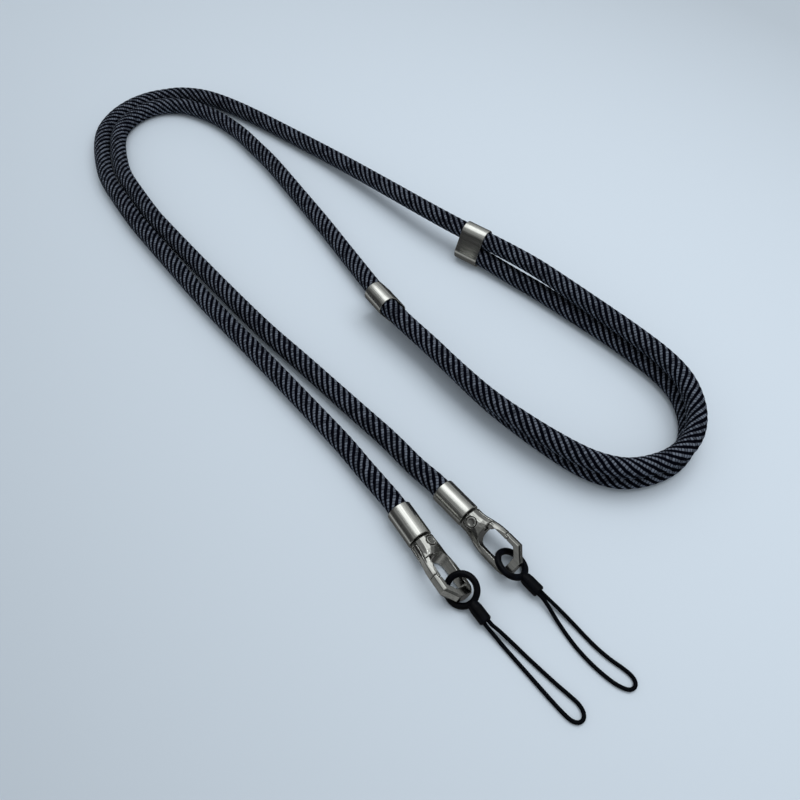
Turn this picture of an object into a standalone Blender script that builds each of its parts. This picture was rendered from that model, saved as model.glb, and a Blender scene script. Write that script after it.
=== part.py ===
"""Phone crossbody strap: two braided ropes, two metal sliders, two swivel snap hooks with tethers.

Metres, +Z up, lying on the plane z = 0. Layout points are measured from the middle of the table,
and LAYOUT_ORIGIN is the layout point that becomes the model's origin.
"""
import math

import bmesh
import bpy
from mathutils import Matrix, Vector

# Layout
LAYOUT_ORIGIN = (0.0166, -0.00177)
FIT_GAP = 0.0003

# Ropes
ROPE_DIAMETER = 0.0076
ROPE_SIDES_LEVEL = 3
ROPE_STEP = 0.024
ROPE_INSERT = 0.0085
ROPE_END_SETBACK = 0.0020
PAIR_SPACING = ROPE_DIAMETER + FIT_GAP

# Sliders
SLIDER_LENGTH = 0.0110
SLIDER_WALL = 0.0005
SLIDER_CLEARANCE = 0.00025
SLIDER_EDGE = 0.0002
SLIDER_LEAN = 60.0
SLIDER_UPPER = (0.0324, 0.0781, -35.5)
SLIDER_MIDDLE = (-0.0062, 0.0441, -55.0)
SLIDER_LEAD = 0.0020

# End caps
CAP_LENGTH = 0.0136
CAP_WALL = 0.00055
CAP_CLEARANCE = 0.00025
CAP_BORE_DEPTH = 0.0106
CAP_EDGE = 0.0004

# Swivel post of each hook
SWIVEL_SLOT = 0.0006
POST_DIAMETER = 0.0030
POST_HEAD_DIAMETER = 0.0056
POST_HEAD_HEIGHT = 0.0010
POST_ROOT_SHARE = 0.25

# Hooks, in their own frame: +X from the base to the tip, +Y to the gate, +Z out of the face
HOOK_LENGTH = 0.0240
HOOK_WIDTH = 0.0122
BARREL_DIAMETER = 0.0090
ARM_THICKNESS = 0.0042
SPINE_WIDTH = 0.0024
GATE_WIDTH = 0.0022
END_BAR_WIDTH = 0.0029
EYE_START = 0.0073
EYE_ARCH_SHARE = 0.80
EYE_CORNER = 0.0012
EYE_SLOPE = 0.0026
NOSE_START = 0.0136
NOSE_STEP = 0.0014
HOOK_LEFT = (0.0073, -0.0618, -57.0, 148.0)
HOOK_RIGHT = (0.0244, -0.0528, -49.5, 31.5)

# Gate hinge
HINGE_ALONG = 0.0026
HINGE_ACROSS = 0.0030
HINGE_PIN_DIAMETER = 0.0010
HINGE_PIN_LENGTH = 0.0038
GATE_TAIL_THICKNESS = 0.0024
GATE_TAIL_START = 0.0012
GATE_SLOT_FLOOR = 0.0014
GATE_SWING = 18.0

# Studs through the barrels
STUD_ALONG = 0.0027
STUD_PIN_DIAMETER = 0.0014
STUD_HEAD_DIAMETER = 0.0036
STUD_HEAD_HEIGHT = 0.0005
STUD_SEAT_DEPTH = 0.0009
STUD_DOME_SHARE = 0.82

# Rubber rings with their sleeves
RING_DIAMETER = 0.0130
RING_WIRE = 0.0024
SLEEVE_DIAMETER = 0.0045
SLEEVE_LENGTH = 0.0064
SLEEVE_NECK_SHARE = 0.70
SLEEVE_COLLAR_SHARE = 0.92
SLEEVE_EDGE_SHARE = 0.20

# Tether cords
TETHER_DIAMETER = 0.0014
TETHER_STEP = 0.0060

# Sections of a hook's body, as shares: along HOOK_LENGTH, gate side and spine side of half of
# HOOK_WIDTH, thickness blended from ARM_THICKNESS (0) to BARREL_DIAMETER (1), and roundness of
# the corners from a flat chamfer (0) to a full round (1)
HOOK_SECTIONS = (
    # along, gate_side, spine_side, barrel, roundness
    (0.000, 0.680, 0.680, 0.88, 1.0),
    (0.015, 0.735, 0.735, 1.00, 1.0),
    (0.130, 0.745, 0.745, 1.00, 1.0),
    (0.210, 0.800, 0.800, 0.92, 0.9),
    (0.275, 0.860, 0.860, 0.66, 0.7),
    (0.370, 0.935, 0.935, 0.26, 0.4),
    (0.450, 0.975, 0.975, 0.06, 0.1),
    (0.550, 1.000, 1.000, 0.00, 0.0),
    (0.820, 1.000, 1.000, 0.00, 0.0),
    (0.905, 0.655, 0.960, 0.00, 0.0),
    (0.955, 0.460, 0.840, 0.00, 0.0),
    (1.000, 0.300, 0.660, 0.00, 0.0),
)
ARM_CHAMFER_SHARE = 0.40
CORNER_STEPS = 4

# Route of each rope where it lies alone: layout x, y and height of its centre over its rest
OUTER_LEG = (
    (-0.0130, -0.0330, 0.0),
    (-0.0215, -0.0220, 0.0),
    (-0.0350, -0.0062, 0.0),
    (-0.0545, 0.0163, 0.0),
    (-0.0812, 0.0466, 0.0),
    (-0.1030, 0.0732, 0.0),
)
INNER_LEG = (
    (0.0059, -0.0321, 0.0),
    (-0.0047, -0.0200, 0.0),
    (-0.0172, -0.0072, 0.0),
    (-0.0386, 0.0148, 0.0),
    (-0.0575, 0.0340, 0.0),
    (-0.0794, 0.0586, 0.0),
    (-0.0957, 0.0776, 0.0),
)
OUTER_REACH = (
    (-0.1165, 0.1936, 0.0),
    (-0.1058, 0.1921, 0.0),
    (-0.0950, 0.1875, 0.0),
    (-0.0796, 0.1778, 0.0),
    (-0.0597, 0.1629, 0.0),
    (-0.0394, 0.1463, 0.0008),
    (-0.0265, 0.1347, 0.0020),
    (-0.0083, 0.1172, 0.0042),
    (0.0144, 0.0951, 0.0070),
)
INNER_REACH = (
    (-0.1155, 0.1839, 0.0),
    (-0.1079, 0.1815, 0.0),
    (-0.0955, 0.1742, 0.0),
    (-0.0829, 0.1628, 0.0),
    (-0.0725, 0.1500, 0.0),
    (-0.0623, 0.1365, 0.0),
    (-0.0469, 0.1129, 0.0),
    (-0.0360, 0.0960, 0.0),
    (-0.0228, 0.0743, 0.0002),
)

# Route of the middle line of the two ropes where they run side by side, from the clasps round
# the left loop: layout x, y, lean of the pair in degrees and spare space between the ropes
LEFT_LOOP = (
    (-0.1128, 0.0915, 0.0, 0.0),
    (-0.1197, 0.1007, 0.0, 0.0),
    (-0.1288, 0.1139, 0.0, 0.0),
    (-0.1364, 0.1257, 0.0, 0.0),
    (-0.1410, 0.1359, 0.0, 0.0),
    (-0.1451, 0.1495, 0.0, 0.0),
    (-0.1466, 0.1596, 0.0, 0.0),
    (-0.1457, 0.1668, 0.0, 0.0),
    (-0.1428, 0.1741, 0.0, 0.0),
    (-0.1373, 0.1812, 0.0, 0.0),
    (-0.1293, 0.1864, 0.0, 0.0002),
    (-0.1188, 0.1890, 0.0, 0.0008),
)
# From slider_upper round the right loop to slider_middle, with rope_outer on top
RIGHT_LOOP = (
    (0.0453, 0.0683, 62.0, 0.0010),
    (0.0591, 0.0565, 68.0, 0.0010),
    (0.0770, 0.0395, 73.0, 0.0003),
    (0.0870, 0.0297, 76.0, 0.0),
    (0.0964, 0.0196, 78.0, 0.0),
    (0.1040, 0.0101, 80.0, 0.0),
    (0.1090, 0.0004, 83.0, 0.0),
    (0.1103, -0.0115, 85.0, 0.0),
    (0.1073, -0.0225, 87.0, 0.0),
    (0.1003, -0.0308, 90.0, 0.0),
    (0.0909, -0.0355, 91.0, 0.0),
    (0.0797, -0.0370, 91.0, 0.0),
    (0.0680, -0.0332, 87.0, 0.0),
    (0.0564, -0.0251, 80.0, 0.0),
    (0.0448, -0.0152, 73.0, 0.0),
    (0.0331, -0.0038, 67.0, 0.0),
    (0.0202, 0.0116, 63.0, 0.0),
    (0.0080, 0.0272, 61.0, 0.0),
)

# Poses of the rings: centre past the eye's end, to the gate and over, along the hook's own axes,
# then heading and dip of the sleeve and roll
RING_LEFT = (0.00035, -0.00185, -0.00045, -53.0, 7.3, 30.4)
RING_RIGHT = (0.00053, -0.00104, -0.00007, -47.0, 6.4, -29.5)

# Route of each tether: layout x, y and height over its rest, out from the sleeve and back again
TETHER_LEFT = (
    (0.0306, -0.0931, 0.0006),
    (0.0338, -0.0970, 0.0001),
    (0.0370, -0.1009, 0.0),
    (0.0407, -0.1054, 0.0),
    (0.0443, -0.1098, 0.0),
    (0.0476, -0.1138, 0.0),
    (0.0504, -0.1170, 0.0),
    (0.0526, -0.1190, 0.0),
    (0.0546, -0.1196, 0.0),
    (0.0562, -0.1187, 0.0),
    (0.0566, -0.1168, 0.0),
    (0.0554, -0.1142, 0.0),
    (0.0527, -0.1115, 0.0),
    (0.0490, -0.1081, 0.0),
    (0.0448, -0.1040, 0.0),
    (0.0404, -0.0996, 0.0),
    (0.0361, -0.0953, 0.0004),
    (0.0323, -0.0919, 0.0013),
)
TETHER_RIGHT = (
    (0.0490, -0.0835, 0.0013),
    (0.0515, -0.0880, 0.0004),
    (0.0543, -0.0928, 0.0),
    (0.0573, -0.0974, 0.0),
    (0.0607, -0.1016, 0.0),
    (0.0641, -0.1051, 0.0),
    (0.0674, -0.1079, 0.0),
    (0.0702, -0.1095, 0.0),
    (0.0722, -0.1099, 0.0),
    (0.0737, -0.1091, 0.0),
    (0.0741, -0.1075, 0.0),
    (0.0732, -0.1056, 0.0),
    (0.0709, -0.1034, 0.0),
    (0.0672, -0.1005, 0.0),
    (0.0636, -0.0971, 0.0),
    (0.0602, -0.0932, 0.0),
    (0.0567, -0.0890, 0.0002),
    (0.0531, -0.0850, 0.0007),
    (0.0502, -0.0820, 0.0011),
)

# Sizes that follow from the driving ones
ROPE_RADIUS = ROPE_DIAMETER / 2
CAP_BORE = ROPE_DIAMETER + 2 * CAP_CLEARANCE
CAP_DIAMETER = CAP_BORE + 2 * CAP_WALL
CAP_HEIGHT = max(CAP_DIAMETER, BARREL_DIAMETER) / 2
SLIDER_BORE = ROPE_DIAMETER + 2 * SLIDER_CLEARANCE
SLIDER_THICKNESS = SLIDER_BORE + 2 * SLIDER_WALL
EYE_END = HOOK_LENGTH - END_BAR_WIDTH
HALF_HOOK = HOOK_WIDTH / 2
EYE_GATE_SIDE = HALF_HOOK - GATE_WIDTH
EYE_SPINE_SIDE = HALF_HOOK - SPINE_WIDTH
EYE_ARCH = (EYE_GATE_SIDE + EYE_SPINE_SIDE) / 2 * EYE_ARCH_SHARE
TETHER_SPREAD = TETHER_DIAMETER + FIT_GAP
TAIL_INNER = HINGE_ACROSS - HINGE_PIN_DIAMETER / 2 - FIT_GAP / 2


def clear_scene():
    for item in list(bpy.data.objects):
        bpy.data.objects.remove(item, do_unlink=True)


def make_collection(name):
    collection = bpy.data.collections.new(name)
    bpy.context.scene.collection.children.link(collection)
    return collection


def make_material(name, color, metallic, roughness):
    material = bpy.data.materials.new(name)
    material.use_nodes = True
    shader = material.node_tree.nodes["Principled BSDF"]
    shader.inputs["Base Color"].default_value = (*color, 1.0)
    shader.inputs["Metallic"].default_value = metallic
    shader.inputs["Roughness"].default_value = roughness
    return material


def add_object(name, mesh, collection):
    item = bpy.data.objects.new(name, mesh)
    collection.objects.link(item)
    return item


def as_cutter(item):
    item.hide_render = True
    item.display_type = "WIRE"
    return item


def combine(item, other, operation):
    """Add a boolean that cuts, joins or intersects item with other."""
    modifier = item.modifiers.new(other.name, "BOOLEAN")
    modifier.operation = operation
    modifier.solver = "EXACT"
    modifier.object = other


def smooth(mesh, angle):
    mesh.shade_smooth()
    mesh.set_sharp_from_angle(angle=math.radians(angle))


def layout(x, y, z):
    return Vector((x - LAYOUT_ORIGIN[0], y - LAYOUT_ORIGIN[1], z))


def heading_vector(degrees):
    return Vector((math.cos(math.radians(degrees)), math.sin(math.radians(degrees)), 0.0))


def smooth_route(points, step, pieces=0):
    """Points on one smooth curve through the given ones, a step apart or in so many pieces."""
    last = len(points) - 1
    route = [points[0]]
    for index in range(last):
        before = points[max(index - 1, 0)]
        start = points[index]
        end = points[index + 1]
        after = points[min(index + 2, last)]
        count = pieces or max(1, round((end - start).length / step))
        for piece in range(1, count + 1):
            t = piece / count
            bend_in = (end - before) / 2
            bend_out = (after - start) / 2
            route.append(
                start * (2 * t**3 - 3 * t**2 + 1)
                + bend_in * (t**3 - 2 * t**2 + t)
                + end * (3 * t**2 - 2 * t**3)
                + bend_out * (t**3 - t**2)
            )
    return route


def pair_routes(table):
    """Centres of the two ropes, outer or upper one first, along the middle line in a table."""
    rows = smooth_route([Vector(row) for row in table], ROPE_STEP, 2)
    middles = [layout(x, y, 0.0) for x, y, lean, spare in rows]
    first = []
    second = []
    for index in range(1, len(rows) - 1):
        lean, spare = rows[index][2:]
        along = (middles[index + 1] - middles[index - 1]).normalized()
        outward = Vector((-along.y, along.x, 0.0))
        angle = math.radians(lean)
        half = (PAIR_SPACING + spare) / 2
        reach = outward * half * math.cos(angle) + Vector((0.0, 0.0, half * math.sin(angle)))
        middle = middles[index] + Vector((0.0, 0.0, ROPE_RADIUS + half * math.sin(angle)))
        first.append(middle + reach)
        second.append(middle - reach)
    return first, second


def slider_frame(place, outer_side):
    """Frame of a slider: X along its bore, Y from the lower rope to the upper one."""
    x, y, heading = place
    along = heading_vector(heading)
    lean = math.radians(SLIDER_LEAN)
    sideways = Vector((-along.y, along.x, 0.0)) * outer_side
    upward = sideways * math.cos(lean) + Vector((0.0, 0.0, math.sin(lean)))
    normal = along.cross(upward)
    centre = layout(x, y, SLIDER_THICKNESS / 2 + PAIR_SPACING / 2 * math.sin(lean))
    frame = Matrix((along, upward, normal)).transposed().to_4x4()
    return Matrix.Translation(centre) @ frame


def slider_line(frame, side, start, end):
    """Two points on the bore line of one rope, from start to end of the slider's own X."""
    offset = side * PAIR_SPACING / 2
    return [frame @ Vector((place, offset, 0.0)) for place in (start, end)]


def hook_frame(place):
    x, y, heading, roll = place
    turn = Matrix.Rotation(math.radians(heading), 4, "Z") @ Matrix.Rotation(math.radians(roll), 4, "X")
    return Matrix.Translation(layout(x, y, CAP_HEIGHT)) @ turn


def cap_points(frame):
    """Rope points inside a cap, from the deepest to just outside the mouth."""
    mouth = -SWIVEL_SLOT - CAP_LENGTH
    return [frame @ Vector((mouth + depth, 0.0, 0.0)) for depth in (ROPE_INSERT, 0.0, -ROPE_RADIUS)]


def rest_points(rows):
    return [layout(x, y, ROPE_RADIUS + lift) for x, y, lift in rows]


def rope_routes(frames):
    """Route points of rope_outer and rope_inner, each from its end cap to its last end."""
    half = SLIDER_LENGTH / 2
    lead = half + SLIDER_LEAD
    inside = half - ROPE_END_SETBACK
    outer_left, inner_left = pair_routes(LEFT_LOOP)
    high, low = pair_routes(RIGHT_LOOP)
    upper = frames["slider_upper"]
    middle = frames["slider_middle"]
    outer = cap_points(frames["hook_left"]) + rest_points(OUTER_LEG) + outer_left
    outer += rest_points(OUTER_REACH)
    outer += slider_line(upper, 1, -lead, lead)
    outer += high
    outer += slider_line(middle, 1, lead, -inside)
    inner = cap_points(frames["hook_right"]) + rest_points(INNER_LEG) + inner_left
    inner += rest_points(INNER_REACH)
    inner += slider_line(middle, -1, -lead, lead)
    inner += low[::-1]
    inner += slider_line(upper, -1, lead, -inside)
    return outer, inner


def tube(name, points, diameter, level, collection):
    """A round cord along points, with closed ends."""
    curve = bpy.data.curves.new(name, "CURVE")
    curve.dimensions = "3D"
    curve.bevel_depth = diameter / 2
    curve.bevel_resolution = level
    curve.use_fill_caps = True
    spline = curve.splines.new("POLY")
    spline.points.add(len(points) - 1)
    for point, place in zip(spline.points, points):
        point.co = (*place, 1.0)
    spline.use_smooth = True
    return add_object(name, curve, collection)


def outline_solid(name, outlines, half_height, collection):
    """A flat outline, or one with holes, drawn in X and Y and raised to both sides."""
    curve = bpy.data.curves.new(name, "CURVE")
    curve.dimensions = "2D"
    curve.fill_mode = "BOTH"
    curve.extrude = half_height
    for outline in outlines:
        spline = curve.splines.new("POLY")
        spline.points.add(len(outline) - 1)
        for point, (x, y) in zip(spline.points, outline):
            point.co = (x, y, 0.0, 1.0)
        spline.use_cyclic_u = True
    drawn = add_object(name + "_outline", curve, collection)
    evaluated = drawn.evaluated_get(bpy.context.evaluated_depsgraph_get())
    mesh = bpy.data.meshes.new_from_object(evaluated)
    bpy.data.objects.remove(drawn, do_unlink=True)
    work = bmesh.new()
    work.from_mesh(mesh)
    bmesh.ops.remove_doubles(work, verts=work.verts, dist=0.000001)
    bmesh.ops.recalc_face_normals(work, faces=work.faces)
    work.to_mesh(mesh)
    work.free()
    return add_object(name, mesh, collection)


def turned(name, profile, steps, collection):
    """A body turned about its own X axis from (along, radius) points, base to tip."""
    mesh = bpy.data.meshes.new(name)
    work = bmesh.new()
    ring = [work.verts.new((along, radius, 0.0)) for along, radius in profile]
    for start, end in zip(ring, ring[1:]):
        work.edges.new((start, end))
    bmesh.ops.spin(
        work, geom=work.verts[:] + work.edges[:], axis=(1.0, 0.0, 0.0), cent=(0.0, 0.0, 0.0),
        angle=2 * math.pi, steps=steps, use_merge=True,
    )
    bmesh.ops.remove_doubles(work, verts=work.verts, dist=0.000001)
    bmesh.ops.recalc_face_normals(work, faces=work.faces)
    work.to_mesh(mesh)
    work.free()
    return add_object(name, mesh, collection)


def rod(name, diameter, start, end, axis, place, collection, sides=24):
    """A round rod along the local axis X or Z, from start to end, through place."""
    mesh = bpy.data.meshes.new(name)
    work = bmesh.new()
    bmesh.ops.create_cone(
        work, cap_ends=True, segments=sides, radius1=diameter / 2, radius2=diameter / 2,
        depth=end - start,
    )
    bmesh.ops.translate(work, verts=work.verts, vec=(0.0, 0.0, (start + end) / 2))
    if axis == "X":
        bmesh.ops.rotate(work, verts=work.verts, matrix=Matrix.Rotation(math.pi / 2, 3, "Y"))
    bmesh.ops.translate(work, verts=work.verts, vec=place)
    work.to_mesh(mesh)
    work.free()
    return add_object(name, mesh, collection)


def arc(centre, radius, start, end, steps):
    """Points on an arc, angles in degrees, both ends included."""
    angles = [math.radians(start + (end - start) * step / steps) for step in range(steps + 1)]
    return [(centre[0] + radius * math.cos(a), centre[1] + radius * math.sin(a)) for a in angles]


def stadium(half_straight, radius, steps):
    right = arc((half_straight, 0.0), radius, -90.0, 90.0, steps)
    left = arc((-half_straight, 0.0), radius, 90.0, 270.0, steps)
    return right + left


def add_slider(name, frame, collection):
    """A sleeve with a long round section, its bore along local X and its section's length on Y."""
    half = PAIR_SPACING / 2
    outlines = [stadium(half, SLIDER_THICKNESS / 2, 14), stadium(half, SLIDER_BORE / 2, 14)]
    item = outline_solid(name, outlines, SLIDER_LENGTH / 2, collection)
    upright = Matrix(((0, 0, 1), (1, 0, 0), (0, 1, 0))).to_4x4()
    item.data.transform(upright)
    item.matrix_world = frame
    bevel = item.modifiers.new("edges", "BEVEL")
    bevel.width = SLIDER_EDGE
    bevel.segments = 2
    bevel.limit_method = "ANGLE"
    bevel.angle_limit = math.radians(60)
    smooth(item.data, 40)
    return item


def add_cap(name, frame, collection):
    """An end cap turned about local X, open at the rope's side, bored for the swivel post."""
    back = -SWIVEL_SLOT
    mouth = back - CAP_LENGTH
    floor = mouth + CAP_BORE_DEPTH
    outside = CAP_DIAMETER / 2
    bore = CAP_BORE / 2
    rim = CAP_WALL / 3
    post_hole = POST_DIAMETER / 2 + FIT_GAP
    profile = [
        (floor, post_hole),
        (floor, bore),
        (mouth + rim, bore),
        (mouth, bore + rim),
        (mouth, outside - rim),
        (mouth + rim, outside),
        (back - CAP_EDGE, outside),
        (back - CAP_EDGE / 3, outside - CAP_EDGE / 3),
        (back, outside - CAP_EDGE),
        (back, post_hole),
    ]
    item = turned(name, profile + profile[:1], 30, collection)
    item.matrix_world = frame
    smooth(item.data, 35)
    return item


def section_points(row):
    """Corner points of one section of a hook's body, in the plane across its X."""
    along, gate_side, spine_side, barrel, roundness = row
    half_height = (ARM_THICKNESS + (BARREL_DIAMETER - ARM_THICKNESS) * barrel) / 2
    chamfer = ARM_THICKNESS / 2 * ARM_CHAMFER_SHARE
    points = []
    for sign_y, sign_z, flip in ((1, 1, False), (-1, 1, True), (-1, -1, False), (1, -1, True)):
        half_width = HALF_HOOK * (gate_side if sign_y > 0 else spine_side)
        corner_z = chamfer + (half_height - chamfer) * roundness
        corner_y = chamfer + (half_width - chamfer) * roundness
        corner = []
        for step in range(CORNER_STEPS + 1):
            share = step / CORNER_STEPS
            angle = math.radians(90 * share)
            y_share = math.cos(angle) * roundness + (1 - share) * (1 - roundness)
            z_share = math.sin(angle) * roundness + share * (1 - roundness)
            y = half_width - corner_y * (1 - y_share)
            z = half_height - corner_z * (1 - z_share)
            corner.append(Vector((along * HOOK_LENGTH, sign_y * y, sign_z * z)))
        points += corner[::-1] if flip else corner
    return points


def add_hook_blank(name, collection):
    """The whole hook before it is cut: a loft through its sections."""
    mesh = bpy.data.meshes.new(name)
    work = bmesh.new()
    rings = [[work.verts.new(point) for point in section_points(row)] for row in HOOK_SECTIONS]
    count = len(rings[0])
    for near, far in zip(rings, rings[1:]):
        for index in range(count):
            following = (index + 1) % count
            work.faces.new((near[index], near[following], far[following], far[index]))
    work.faces.new(rings[0])
    work.faces.new(rings[-1])
    bmesh.ops.remove_doubles(work, verts=work.verts, dist=0.000001)
    bmesh.ops.triangulate(work, faces=work.faces)
    bmesh.ops.recalc_face_normals(work, faces=work.faces)
    work.to_mesh(mesh)
    work.free()
    return add_object(name, mesh, collection)


def eye_outline():
    """Outline of the hook's eye: an arch at the barrel and a sloped corner at the nose."""
    spine = -EYE_SPINE_SIDE
    middle = EYE_START + EYE_ARCH
    points = arc((middle, EYE_GATE_SIDE - EYE_ARCH), EYE_ARCH, 90, 180, 8)
    points += arc((middle, spine + EYE_ARCH), EYE_ARCH, 180, 270, 8)
    points += arc((EYE_END - EYE_CORNER, spine + EYE_CORNER), EYE_CORNER, -90, 0, 4)
    points += [(EYE_END, EYE_GATE_SIDE - EYE_SLOPE), (EYE_END - EYE_SLOPE, EYE_GATE_SIDE)]
    return points


def swung(along, across):
    """Where a point of the gate comes when the gate is pushed in all the way."""
    turn = math.radians(-GATE_SWING)
    x = along - HINGE_ALONG
    y = across - HINGE_ACROSS
    return (
        HINGE_ALONG + x * math.cos(turn) - y * math.sin(turn),
        HINGE_ACROSS + x * math.sin(turn) + y * math.cos(turn),
    )


def nose_outline(gap):
    """The gate's outline at the nose and outside, from its inner side round to its start."""
    tip = NOSE_START + NOSE_STEP + gap
    step_line = HALF_HOOK - GATE_WIDTH / 2 + gap
    return [
        (tip, EYE_GATE_SIDE - gap),
        (tip, step_line),
        (NOSE_START + gap, step_line),
        (NOSE_START + gap, HOOK_WIDTH),
        (EYE_START - gap, HOOK_WIDTH),
    ]


def arm_outline():
    return [(EYE_START, EYE_GATE_SIDE)] + nose_outline(0.0)


def arm_place():
    """What is cut from the hook for the gate's arm, shut and pushed in."""
    base = swung(EYE_START, EYE_GATE_SIDE)
    middle = swung(EYE_START + EYE_ARCH, EYE_GATE_SIDE)
    return [
        (EYE_START - FIT_GAP, base[1] - FIT_GAP),
        (middle[0], middle[1] - FIT_GAP),
        (middle[0], EYE_GATE_SIDE - FIT_GAP),
    ] + nose_outline(FIT_GAP)


def slot_outline():
    """What is cut from the hook for the gate's tail, shut and pushed in."""
    shallow = swung(HINGE_ALONG + GATE_WIDTH / 2, TAIL_INNER)
    deep = swung(EYE_START + GATE_WIDTH / 2, TAIL_INNER)
    end = EYE_START + GATE_WIDTH
    return [
        (GATE_TAIL_START - FIT_GAP, GATE_SLOT_FLOOR),
        (shallow[0], GATE_SLOT_FLOOR),
        (deep[0], deep[1] - FIT_GAP),
        (end, deep[1] - FIT_GAP),
        (end, HOOK_WIDTH),
        (GATE_TAIL_START - FIT_GAP, HOOK_WIDTH),
    ]


def add_hook(name, frame, collection, cutters):
    """The hook's body with its eye, gate opening, hinge slot, stud hole and swivel post."""
    item = add_hook_blank(name, collection)
    eye = outline_solid(name + "_eye", [eye_outline()], BARREL_DIAMETER, cutters)
    place = outline_solid(name + "_gate_place", [arm_place()], BARREL_DIAMETER, cutters)
    slot_half = GATE_TAIL_THICKNESS / 2 + FIT_GAP
    slot = outline_solid(name + "_slot", [slot_outline()], slot_half, cutters)
    pin_hole = HINGE_PIN_DIAMETER + 2 * FIT_GAP
    reach = HINGE_PIN_LENGTH / 2 + FIT_GAP
    hinge = rod(name + "_hinge_hole", pin_hole, -reach, reach, "Z", (HINGE_ALONG, HINGE_ACROSS, 0.0), cutters)
    bore = STUD_PIN_DIAMETER + 2 * FIT_GAP
    stud_hole = rod(name + "_stud_hole", bore, -BARREL_DIAMETER, BARREL_DIAMETER, "Z",
                    (STUD_ALONG, 0.0, 0.0), cutters)
    cuts = [eye, place, slot, hinge, stud_hole]
    seat = BARREL_DIAMETER / 2 - STUD_SEAT_DEPTH
    for label, start, end in (("front", seat, BARREL_DIAMETER), ("back", -BARREL_DIAMETER, -seat)):
        cuts.append(rod(name + "_seat_" + label, STUD_HEAD_DIAMETER + 2 * FIT_GAP, start, end, "Z",
                        (STUD_ALONG, 0.0, 0.0), cutters))
    for cut in cuts:
        as_cutter(cut)
        combine(item, cut, "DIFFERENCE")
    post = turned(name + "_post", post_profile(), 24, cutters)
    combine(item, as_cutter(post), "UNION")
    for piece in [item, post] + cuts:
        piece.matrix_world = frame
    smooth(item.data, 30)
    return item


def post_profile():
    """Profile of the swivel post, from its head in the cap's bore to its root in the hook."""
    radius = POST_DIAMETER / 2
    head = POST_HEAD_DIAMETER / 2
    seat = -SWIVEL_SLOT - CAP_LENGTH + CAP_BORE_DEPTH - FIT_GAP
    return [
        (seat - POST_HEAD_HEIGHT, 0.0),
        (seat - POST_HEAD_HEIGHT, head),
        (seat, head),
        (seat, radius),
        (STUD_ALONG * POST_ROOT_SHARE, radius),
        (STUD_ALONG * POST_ROOT_SHARE, 0.0),
    ]


def add_gate(name, frame, collection, cutters):
    """The gate's arm, cut from the hook's own form, with its tail and hinge pin."""
    item = add_hook_blank(name, collection)
    arm = outline_solid(name + "_arm", [arm_outline()], BARREL_DIAMETER, cutters)
    tail = outline_solid(
        name + "_tail",
        [[
            (GATE_TAIL_START, TAIL_INNER),
            (EYE_START + GATE_WIDTH / 2, TAIL_INNER),
            (EYE_START + GATE_WIDTH, EYE_GATE_SIDE + FIT_GAP),
            (EYE_START + GATE_WIDTH, HOOK_WIDTH),
            (GATE_TAIL_START, HOOK_WIDTH),
        ]],
        GATE_TAIL_THICKNESS / 2, cutters,
    )
    combine(tail, as_cutter(arm), "UNION")
    combine(item, as_cutter(tail), "INTERSECT")
    half = HINGE_PIN_LENGTH / 2
    pin = rod(name + "_pin", HINGE_PIN_DIAMETER, -half, half, "Z", (HINGE_ALONG, HINGE_ACROSS, 0.0), cutters)
    combine(item, as_cutter(pin), "UNION")
    for piece in (item, arm, tail, pin):
        piece.matrix_world = frame
    smooth(item.data, 30)
    return item


def add_stud(name, frame, collection):
    """A pin through the barrel with a low round head on each side."""
    pin = STUD_PIN_DIAMETER / 2
    head = STUD_HEAD_DIAMETER / 2
    seat = BARREL_DIAMETER / 2 - STUD_SEAT_DEPTH + FIT_GAP
    top = seat + STUD_HEAD_HEIGHT
    half = [
        (seat, pin),
        (seat, head),
        (top - STUD_HEAD_HEIGHT / 3, head),
        (top, head * STUD_DOME_SHARE),
        (top, 0.0),
    ]
    profile = [(-along, radius) for along, radius in half[::-1]] + half
    item = turned(name, profile, 20, collection)
    stand = Matrix.Translation((STUD_ALONG, 0.0, 0.0)) @ Matrix.Rotation(-math.pi / 2, 4, "Y")
    item.data.transform(stand)
    item.matrix_world = frame
    smooth(item.data, 35)
    return item


def ring_frame(hook, pose):
    """Frame of a ring in a hook's eye: X to its sleeve, Z along its hole."""
    past, across, over, heading, dip, roll = pose
    centre = hook @ Vector((EYE_END + past, across, over))
    turn = Matrix.Rotation(math.radians(heading), 4, "Z")
    turn = turn @ Matrix.Rotation(math.radians(dip), 4, "Y")
    turn = turn @ Matrix.Rotation(math.radians(roll), 4, "X")
    return Matrix.Translation(centre) @ turn


def add_ring(name, frame, collection, cutters):
    """A moulded rubber ring with a round sleeve on it for the tether."""
    centre_radius = (RING_DIAMETER - RING_WIRE) / 2
    bpy.ops.mesh.primitive_torus_add(
        major_radius=centre_radius, minor_radius=RING_WIRE / 2, major_segments=30, minor_segments=9,
    )
    item = bpy.context.active_object
    item.name = name
    item.data.name = name
    for owner in list(item.users_collection):
        owner.objects.unlink(item)
    collection.objects.link(item)
    start = centre_radius
    end = RING_DIAMETER / 2 + SLEEVE_LENGTH
    radius = SLEEVE_DIAMETER / 2
    edge = radius * SLEEVE_EDGE_SHARE
    profile = [
        (start, 0.0),
        (start, radius * SLEEVE_NECK_SHARE),
        (start + RING_WIRE / 2, radius * SLEEVE_COLLAR_SHARE),
        (start + RING_WIRE, radius),
        (end - edge, radius),
        (end, radius - edge),
        (end, 0.0),
    ]
    sleeve = turned(name + "_sleeve", profile, 16, cutters)
    combine(item, as_cutter(sleeve), "UNION")
    item.matrix_world = frame
    sleeve.matrix_world = frame
    smooth(item.data, 50)
    return item


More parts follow.
